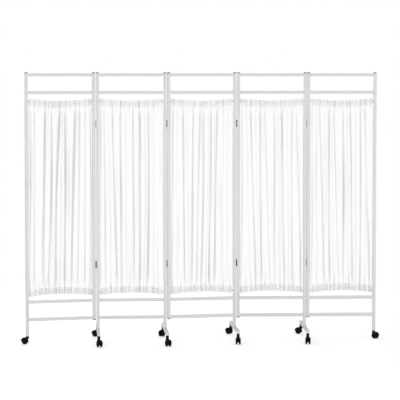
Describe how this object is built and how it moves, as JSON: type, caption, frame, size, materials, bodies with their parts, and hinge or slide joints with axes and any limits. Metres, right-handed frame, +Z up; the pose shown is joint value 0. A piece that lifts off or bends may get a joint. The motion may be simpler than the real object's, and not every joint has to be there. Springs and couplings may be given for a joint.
{
  "type": "folding ward privacy screen",
  "caption": "Free-standing folding screen of hinged tube frames on twin-wheel casters, each frame holding a gathered curtain.",
  "frame": {"origin": "on the floor under the middle of the whole screen as it stands in the picture", "axes": "+X along the screen to the viewer's right, -Y towards the viewer, +Z up"},
  "size_m": [2.2846, 0.5088, 1.7],
  "materials": {
    "frame_paint": "pale powder coat, satin",
    "curtain_cloth": "thin white polyester voile, gathered",
    "cap_plastic": "moulded, matt",
    "caster_plastic": "moulded nylon, semi-matt",
    "tyre_rubber": "matt tread",
    "pin_steel": "dark, dull"
  },
  "bodies": {
    "panel_1": {"panel_1_frame": "frame_paint", "panel_1_curtain": "curtain_cloth", "panel_1_top_cap_left": "cap_plastic", "panel_1_top_cap_right": "cap_plastic", "panel_1_bottom_cap_right": "cap_plastic", "hinge_1_upper_pin": "pin_steel", "hinge_1_lower_pin": "pin_steel"},
    "panel_2": {"panel_2_frame": "frame_paint", "panel_2_curtain": "curtain_cloth", "panel_2_top_cap_left": "cap_plastic", "panel_2_top_cap_right": "cap_plastic", "foot_1": "frame_paint", "foot_2": "frame_paint", "hinge_2_upper_pin": "pin_steel", "hinge_2_lower_pin": "pin_steel"},
    "panel_3": {"panel_3_frame": "frame_paint", "panel_3_curtain": "curtain_cloth", "panel_3_top_cap_left": "cap_plastic", "panel_3_top_cap_right": "cap_plastic", "panel_3_bottom_cap_left": "cap_plastic", "foot_3": "frame_paint", "hinge_3_upper_pin": "pin_steel", "hinge_3_lower_pin": "pin_steel"},
    "panel_4": {"panel_4_frame": "frame_paint", "panel_4_curtain": "curtain_cloth", "panel_4_top_cap_left": "cap_plastic", "panel_4_top_cap_right": "cap_plastic", "panel_4_bottom_cap_left": "cap_plastic", "foot_4": "frame_paint", "hinge_4_upper_pin": "pin_steel", "hinge_4_lower_pin": "pin_steel"},
    "panel_5": {"panel_5_frame": "frame_paint", "panel_5_curtain": "curtain_cloth", "panel_5_top_cap_left": "cap_plastic", "panel_5_top_cap_right": "cap_plastic", "panel_5_bottom_cap_left": "cap_plastic"},
    "left_end_caster_swivel": {"left_end_caster_housing": "caster_plastic"},
    "left_end_caster_wheels": {"left_end_caster_wheels": "tyre_rubber"},
    "foot_1_front_caster_swivel": {"foot_1_front_caster_housing": "caster_plastic"},
    "foot_1_front_caster_wheels": {"foot_1_front_caster_wheels": "tyre_rubber"},
    "foot_1_back_caster_swivel": {"foot_1_back_caster_housing": "caster_plastic"},
    "foot_1_back_caster_wheels": {"foot_1_back_caster_wheels": "tyre_rubber"},
    "foot_2_front_caster_swivel": {"foot_2_front_caster_housing": "caster_plastic"},
    "foot_2_front_caster_wheels": {"foot_2_front_caster_wheels": "tyre_rubber"},
    "foot_2_back_caster_swivel": {"foot_2_back_caster_housing": "caster_plastic"},
    "foot_2_back_caster_wheels": {"foot_2_back_caster_wheels": "tyre_rubber"},
    "foot_3_front_caster_swivel": {"foot_3_front_caster_housing": "caster_plastic"},
    "foot_3_front_caster_wheels": {"foot_3_front_caster_wheels": "tyre_rubber"},
    "foot_3_back_caster_swivel": {"foot_3_back_caster_housing": "caster_plastic"},
    "foot_3_back_caster_wheels": {"foot_3_back_caster_wheels": "tyre_rubber"},
    "foot_4_front_caster_swivel": {"foot_4_front_caster_housing": "caster_plastic"},
    "foot_4_front_caster_wheels": {"foot_4_front_caster_wheels": "tyre_rubber"},
    "foot_4_back_caster_swivel": {"foot_4_back_caster_housing": "caster_plastic"},
    "foot_4_back_caster_wheels": {"foot_4_back_caster_wheels": "tyre_rubber"},
    "right_end_caster_swivel": {"right_end_caster_housing": "caster_plastic"},
    "right_end_caster_wheels": {"right_end_caster_wheels": "tyre_rubber"}
  },
  "joints": [
    {"name": "fold_1", "type": "hinge", "parent": "panel_2", "child": "panel_1", "pos_m": [-0.66457, -0.00645, 0.934], "axis": [0, 0, 1], "range_deg": [-9, 134]},
    {"name": "fold_2", "type": "hinge", "parent": "panel_2", "child": "panel_3", "pos_m": [-0.21837, -0.00108, 0.934], "axis": [0, 0, 1], "range_deg": [-6.5, 113.5]},
    {"name": "fold_3", "type": "hinge", "parent": "panel_3", "child": "panel_4", "pos_m": [0.22784, 0.00368, 0.934], "axis": [0, 0, -1], "range_deg": [-8, 112]},
    {"name": "fold_4", "type": "hinge", "parent": "panel_4", "child": "panel_5", "pos_m": [0.67403, -0.00264, 0.934], "axis": [0, 0, 1], "range_deg": [-0.6, 142.4]},
    {"name": "left_end_caster_swivel", "type": "hinge", "parent": "panel_1", "child": "left_end_caster_swivel", "pos_m": [-1.09779, -0.04216, 0.06], "axis": [0, 0, 1], "continuous": true},
    {"name": "left_end_caster_roll", "type": "hinge", "parent": "left_end_caster_swivel", "child": "left_end_caster_wheels", "pos_m": [-1.11375, -0.04104, 0.01932], "axis": [0.0698, 0.9976, 0], "continuous": true},
    {"name": "foot_1_front_caster_swivel", "type": "hinge", "parent": "panel_2", "child": "foot_1_front_caster_swivel", "pos_m": [-0.65743, -0.18911, 0.06], "axis": [0, 0, 1], "continuous": true},
    {"name": "foot_1_front_caster_roll", "type": "hinge", "parent": "foot_1_front_caster_swivel", "child": "foot_1_front_caster_wheels", "pos_m": [-0.65383, -0.2047, 0.01932], "axis": [-0.9744, -0.225, 0], "continuous": true},
    {"name": "foot_1_back_caster_swivel", "type": "hinge", "parent": "panel_2", "child": "foot_1_back_caster_swivel", "pos_m": [-0.64858, 0.20079, 0.06], "axis": [0, 0, 1], "continuous": true},
    {"name": "foot_1_back_caster_roll", "type": "hinge", "parent": "foot_1_back_caster_swivel", "child": "foot_1_back_caster_wheels", "pos_m": [-0.66083, 0.21107, 0.01932], "axis": [0.6428, 0.766, 0], "continuous": true},
    {"name": "foot_2_front_caster_swivel", "type": "hinge", "parent": "panel_2", "child": "foot_2_front_caster_swivel", "pos_m": [-0.23232, -0.20836, 0.06], "axis": [0, 0, 1], "continuous": true},
    {"name": "foot_2_front_caster_roll", "type": "hinge", "parent": "foot_2_front_caster_swivel", "child": "foot_2_front_caster_wheels", "pos_m": [-0.22845, -0.22388, 0.01932], "axis": [-0.9703, -0.2419, 0], "continuous": true},
    {"name": "foot_2_back_caster_swivel", "type": "hinge", "parent": "panel_2", "child": "foot_2_back_caster_swivel", "pos_m": [-0.22756, 0.18161, 0.06], "axis": [0, 0, 1], "continuous": true},
    {"name": "foot_2_back_caster_roll", "type": "hinge", "parent": "foot_2_back_caster_swivel", "child": "foot_2_back_caster_wheels", "pos_m": [-0.23603, 0.16804, 0.01932], "axis": [-0.848, 0.5299, 0], "continuous": true},
    {"name": "foot_3_front_caster_swivel", "type": "hinge", "parent": "panel_3", "child": "foot_3_front_caster_swivel", "pos_m": [0.21463, -0.1793, 0.06], "axis": [0, 0, 1], "continuous": true},
    {"name": "foot_3_front_caster_roll", "type": "hinge", "parent": "foot_3_front_caster_swivel", "child": "foot_3_front_caster_wheels", "pos_m": [0.21296, -0.19521, 0.01932], "axis": [-0.9945, 0.1045, 0], "continuous": true},
    {"name": "foot_3_back_caster_swivel", "type": "hinge", "parent": "panel_3", "child": "foot_3_back_caster_swivel", "pos_m": [0.21736, 0.21069, 0.06], "axis": [0, 0, 1], "continuous": true},
    {"name": "foot_3_back_caster_roll", "type": "hinge", "parent": "foot_3_back_caster_swivel", "child": "foot_3_back_caster_wheels", "pos_m": [0.20707, 0.22295, 0.01932], "axis": [0.766, 0.6428, 0], "continuous": true},
    {"name": "foot_4_front_caster_swivel", "type": "hinge", "parent": "panel_4", "child": "foot_4_front_caster_swivel", "pos_m": [0.65126, -0.20932, 0.06], "axis": [0, 0, 1], "continuous": true},
    {"name": "foot_4_front_caster_roll", "type": "hinge", "parent": "foot_4_front_caster_swivel", "child": "foot_4_front_caster_wheels", "pos_m": [0.64959, -0.22523, 0.01932], "axis": [-0.9945, 0.1045, 0], "continuous": true},
    {"name": "foot_4_back_caster_swivel", "type": "hinge", "parent": "panel_4", "child": "foot_4_back_caster_swivel", "pos_m": [0.67303, 0.18007, 0.06], "axis": [0, 0, 1], "continuous": true},
    {"name": "foot_4_back_caster_roll", "type": "hinge", "parent": "foot_4_back_caster_swivel", "child": "foot_4_back_caster_wheels", "pos_m": [0.65853, 0.18684, 0.01932], "axis": [0.4226, 0.9063, 0], "continuous": true},
    {"name": "right_end_caster_swivel", "type": "hinge", "parent": "panel_5", "child": "right_end_caster_swivel", "pos_m": [1.10694, -0.04194, 0.06], "axis": [0, 0, 1], "continuous": true},
    {"name": "right_end_caster_roll", "type": "hinge", "parent": "right_end_caster_swivel", "child": "right_end_caster_wheels", "pos_m": [1.1147, -0.05594, 0.01932], "axis": [-0.8746, -0.4848, 0], "continuous": true}
  ]
}
